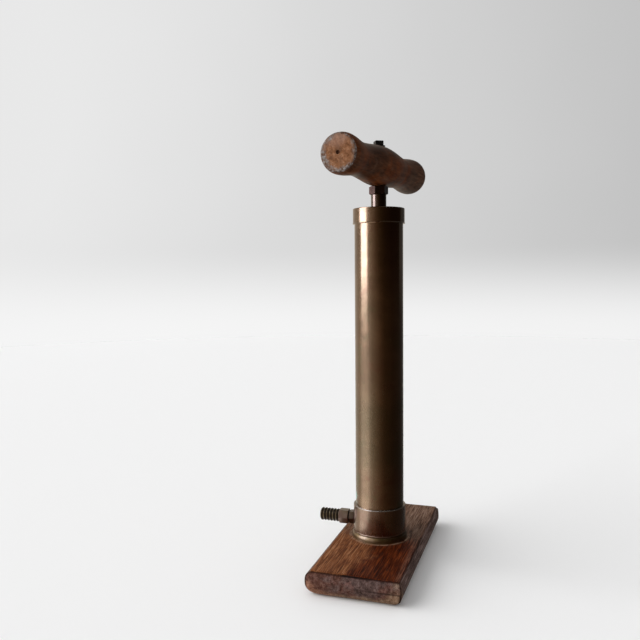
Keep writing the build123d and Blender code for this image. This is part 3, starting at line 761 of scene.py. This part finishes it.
def make_spring():
    """The valve's coil spring, as its own copy of the CAD spring's mesh; it is not shortened here."""
    spring = add_to_scene(bpy.data.objects.new("coil_spring", nodes["valve_spring"].data.copy()))
    stand_in_for(spring, "valve_spring", "stand")
    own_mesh(spring)


stand_in_for(make_board(), "base_board", "stand")
stand_in_for(make_grip(), "handle_grip", "plunger")
make_spring()


# ------------------------------------------------------------------ stage and light

# the fixed heading that the stage's angles count from, in degrees: from the barrel to the camera
ROOM_HEADING = -76.5
# where the sky is brightest: to the left, behind and low
BRIGHT_SKY = (-0.70, 0.40, -0.60)
# how wide the window looks is in degrees
WINDOW_PLACE, WINDOW_AIM = (76, 3.6, 1.75), (0, 0, 0.30)
WINDOW_SPREAD, WINDOW_STRENGTH = 68, 3.2
FLOOR_SIZE, SWEEP, WALL_TOP = 2.7, 1.6, 5.0
FLOOR_TONE = 0.87
# tones of the wall at the left and at the right, at its foot and higher up
FOOT_TONES, WALL_TONES = (0.910, 0.879), (0.81, 0.53)
WALL_BLEND = (0.0, 0.5)
SIDES = 72
ROOM_RADIUS, ROOM_MIDDLE = 3.4, 0.30
ROOM_RINGS = 36


def studio_paint():
    """Matt pale paint, a little lighter at the left as a painted gradient of the window's light."""
    g = Graph("studio_paint")
    soft = g.noise(g.coords(), 5, detail=3)
    across = g.plus(g.split(g.coords())[0], g.times(soft, 0.2))
    tone = g.ramp(g.span(across, -1.6, 1.6, smooth=False),
                  (0.0, FLOOR_TONE * 1.04), (1.0, FLOOR_TONE * 0.98))
    g.put(g.bsdf, "Base Color", tone)
    g.put(g.bsdf, "Roughness", 0.7)
    g.put(g.bsdf, "Specular IOR Level", 0.0)
    return g.mat


def backdrop_glow():
    """The wall glows by itself: as bright as the floor at its foot, then a soft grey, lighter at the left
    as painted window light.
    """
    g = Graph("backdrop_glow")
    x, _, z = g.split(g.coords())
    soft = g.noise(g.coords(), 0.6, detail=2)
    across = g.plus(x, g.times(soft, 0.8))
    foot = g.ramp(g.span(x, -1.6, 1.6, smooth=False), *zip((0.0, 1.0), FOOT_TONES))
    wall = g.ramp(g.span(across, -2.5, 1.3, smooth=False), *zip((0.0, 1.0), WALL_TONES))
    glow = g.node("ShaderNodeEmission")
    g.link(g.mix(g.span(z, *WALL_BLEND), foot, wall), glow.inputs["Color"])
    g.link(glow.outputs[0], g.out.inputs["Surface"])
    return g.mat


def around(angle, distance, height):
    """A point seen from the barrel at this many degrees left of the camera."""
    turn = math.radians(ROOM_HEADING - angle)
    return (distance * math.cos(turn), distance * math.sin(turn), height)


def stage_floor():
    """A flat pale floor whose rim sweeps up into a wall all the way round."""
    angles = [step * 360 / SIDES for step in range(SIDES)]
    rim = [around(angle, FLOOR_SIZE, 0) for angle in reversed(angles)]
    floor = mesh_object("studio_floor", rim, [tuple(range(SIDES))])
    set_material(floor, studio_paint())
    floor.visible_glossy = False
    outline = []
    for turn in range(0, 91, 6):
        outline.append((FLOOR_SIZE + SWEEP * math.sin(math.radians(turn)),
                        SWEEP - SWEEP * math.cos(math.radians(turn))))
    outline.append((FLOOR_SIZE + SWEEP, WALL_TOP))
    verts = [around(angle, radius, height) for radius, height in outline for angle in angles]
    # the same quads as a closed tube, without its two ends
    wall = mesh_object("studio_wall", verts, close_tube(len(outline), SIDES)[:-2], sharp_angle=80)
    set_material(wall, backdrop_glow())
    wall.visible_diffuse = False
    wall.visible_glossy = False
    wall.visible_shadow = False


def window_light():
    """Even daylight from the left, as wide as a tall window close by."""
    data = bpy.data.lights.new("window", "SUN")
    data.angle = math.radians(WINDOW_SPREAD)
    data.energy = WINDOW_STRENGTH
    lamp = add_to_scene(bpy.data.objects.new("window", data))
    lamp.location = around(*WINDOW_PLACE)
    aim = Vector(WINDOW_AIM) - lamp.location
    lamp.rotation_euler = aim.to_track_quat("-Z", "Y").to_euler()
    lamp.visible_glossy = False


def sky():
    """A weak sky that fills the shadows, seen by matt surfaces only."""
    world = bpy.data.worlds.new("studio")
    bpy.context.scene.world = world
    world.use_nodes = True
    world.cycles_visibility.glossy = False
    tree = world.node_tree
    background = tree.nodes["Background"]
    background.inputs["Color"].default_value = (1.0, 1.0, 1.0, 1)
    direction = tree.nodes.new("ShaderNodeTexCoord")
    facing = tree.nodes.new("ShaderNodeVectorMath")
    facing.operation = "DOT_PRODUCT"
    tree.links.new(direction.outputs["Generated"], facing.inputs[0])
    facing.inputs[1].default_value = BRIGHT_SKY
    level = tree.nodes.new("ShaderNodeMapRange")
    tree.links.new(facing.outputs["Value"], level.inputs["Value"])
    for socket, value in (("From Min", -1.0), ("From Max", 1.0), ("To Min", 0.38), ("To Max", 1.15)):
        level.inputs[socket].default_value = value
    tree.links.new(level.outputs[0], background.inputs["Strength"])


# tones of the room round the object, as (degrees left of the camera, tone)
ROOM_WALLS = [(-180, (0.62, 0.56, 0.48)), (-152, 0.105), (-136, 0.080), (-124, 0.080), (-117, 0.12),
              (-111, (0.022, 0.014, 0.010)), (-60, (0.018, 0.010, 0.006)), (-25, (0.028, 0.016, 0.008)),
              (-6, (0.046, 0.029, 0.014)), (13, (0.130, 0.086, 0.054)), (32, (0.33, 0.27, 0.22)),
              (54, (0.62, 0.58, 0.54)), (100, (0.60, 0.54, 0.46)), (180, (0.62, 0.56, 0.48))]
ROOM_TABLE = [(-180, (0.66, 0.60, 0.51)), (-155, 0.13), (-135, 0.055), (-110, (0.042, 0.033, 0.029)),
              (-66, (0.046, 0.029, 0.019)), (-25, (0.086, 0.054, 0.031)), (-6, (0.175, 0.115, 0.075)),
              (13, (0.33, 0.26, 0.20)), (32, (0.47, 0.43, 0.37)), (52, 0.85), (60, 1.0), (92, 1.0),
              (104, (0.72, 0.65, 0.55)), (180, (0.66, 0.60, 0.51))]
CEILING = (0.17, 0.17, 0.17)
# the window pane on the dome, and the strip of table it lights: in radians left of the camera
# and in metres above the dome's middle
PANE_NEAR_SIDE, PANE_FAR_SIDE = (0.93, 1.06), (1.595, 1.635)
PANE_SILL, PANE_HEAD = (-0.26, 0.05), (2.7, 2.9)
PANE_COLOUR, PANE_STRENGTH = (0.86, 0.93, 1.12), 7.2
STRIP_NEAR_SIDE, STRIP_FAR_SIDE = (0.80, 0.95), (1.65, 1.80)
STRIP_GAIN = 1.6


def room_look():
    """The room's own light: walls, table and ceiling, with a bright window pane at the left."""
    g = Graph("room")
    x, y, z = g.split(g.coords())
    turn = g.math("ARCTAN2", g.times(y, -1.0), x)
    fac = g.plus(g.over(turn, 2 * math.pi), 0.5)
    walls = g.ramp(fac, *[((angle + 180) / 360, tone) for angle, tone in ROOM_WALLS])
    table = g.ramp(fac, *[((angle + 180) / 360, tone) for angle, tone in ROOM_TABLE])
    light = g.mix(g.span(z, 0.02, -0.25), walls, table)
    light = g.mix(g.span(z, 1.9, 3.0), light, CEILING)
    # near the window the table is brighter the steeper it is looked down on
    near_window = g.times(g.span(turn, *STRIP_NEAR_SIDE), g.span(turn, *reversed(STRIP_FAR_SIDE)))
    steep = g.times(g.span(z, -0.45, -1.0), near_window)
    across = g.times(g.span(turn, *PANE_NEAR_SIDE), g.span(turn, *reversed(PANE_FAR_SIDE)))
    pane = g.times(across, g.times(g.span(z, *PANE_SILL), g.span(z, *reversed(PANE_HEAD))))
    light = g.mix(pane, light, PANE_COLOUR)
    strength = g.span(steep, 0, 1, 1.0, STRIP_GAIN, smooth=False)
    strength = g.plus(strength, g.times(pane, PANE_STRENGTH))
    glow = g.node("ShaderNodeEmission")
    g.link(light, glow.inputs["Color"])
    g.link(strength, glow.inputs["Strength"])
    g.link(glow.outputs[0], g.out.inputs["Surface"])
    return g.mat


def room_shell():
    """The points and faces of a round shell that faces inward, from the top down."""
    verts = [(0, 0, ROOM_RADIUS)]
    for ring in range(1, ROOM_RINGS):
        down = math.pi * ring / ROOM_RINGS
        reach, height = ROOM_RADIUS * math.sin(down), ROOM_RADIUS * math.cos(down)
        for side in range(SIDES):
            turn = 2 * math.pi * side / SIDES
            verts.append((reach * math.cos(turn), reach * math.sin(turn), height))
    verts.append((0, 0, -ROOM_RADIUS))
    faces = []
    lowest = len(verts) - 1
    for side in range(SIDES):
        following = (side + 1) % SIDES
        faces.append((0, 1 + following, 1 + side))
        for ring in range(ROOM_RINGS - 2):
            upper, lower = 1 + ring * SIDES, 1 + (ring + 1) * SIDES
            faces.append((upper + side, upper + following, lower + following, lower + side))
        faces.append((lowest - SIDES + side, lowest - SIDES + following, lowest))
    return verts, faces


def room_reflection():
    """A dim room round the stage that only glossy surfaces see."""
    room = mesh_object("room", *room_shell())
    room.location = (0, 0, ROOM_MIDDLE)
    room.rotation_euler = (0, 0, math.radians(ROOM_HEADING))
    set_material(room, room_look())
    room.visible_camera = False
    room.visible_diffuse = False
    room.visible_shadow = False
    room.visible_transmission = False


stage_floor()
room_reflection()
sky()
window_light()


# ------------------------------------------------------------------ camera

CAMERA_PLACE = (0.1708, -0.7121, 0.3030)
CAMERA_LENS = 38.97
HEADING, TILT, ROLL = math.radians(18.37), math.radians(3.76), -0.0089


def make_camera():
    """The camera, turned left by HEADING, down by TILT and leaning by ROLL."""
    forward = Vector((-math.sin(HEADING) * math.cos(TILT), math.cos(HEADING) * math.cos(TILT),
                      -math.sin(TILT)))
    level = Vector((math.cos(HEADING), math.sin(HEADING), 0))
    above = level.cross(forward)
    right = level * math.cos(ROLL) + above * math.sin(ROLL)
    up = right.cross(forward)
    data = bpy.data.cameras.new("camera")
    data.lens = CAMERA_LENS
    data.sensor_width = 36.0
    data.clip_start = 0.01
    camera = add_to_scene(bpy.data.objects.new("camera", data))
    pose = Matrix((right, up, -forward)).transposed().to_4x4()
    pose.translation = Vector(CAMERA_PLACE)
    camera.matrix_world = pose
    bpy.context.scene.camera = camera


make_camera()
bpy.context.scene.view_settings.view_transform = "Standard"
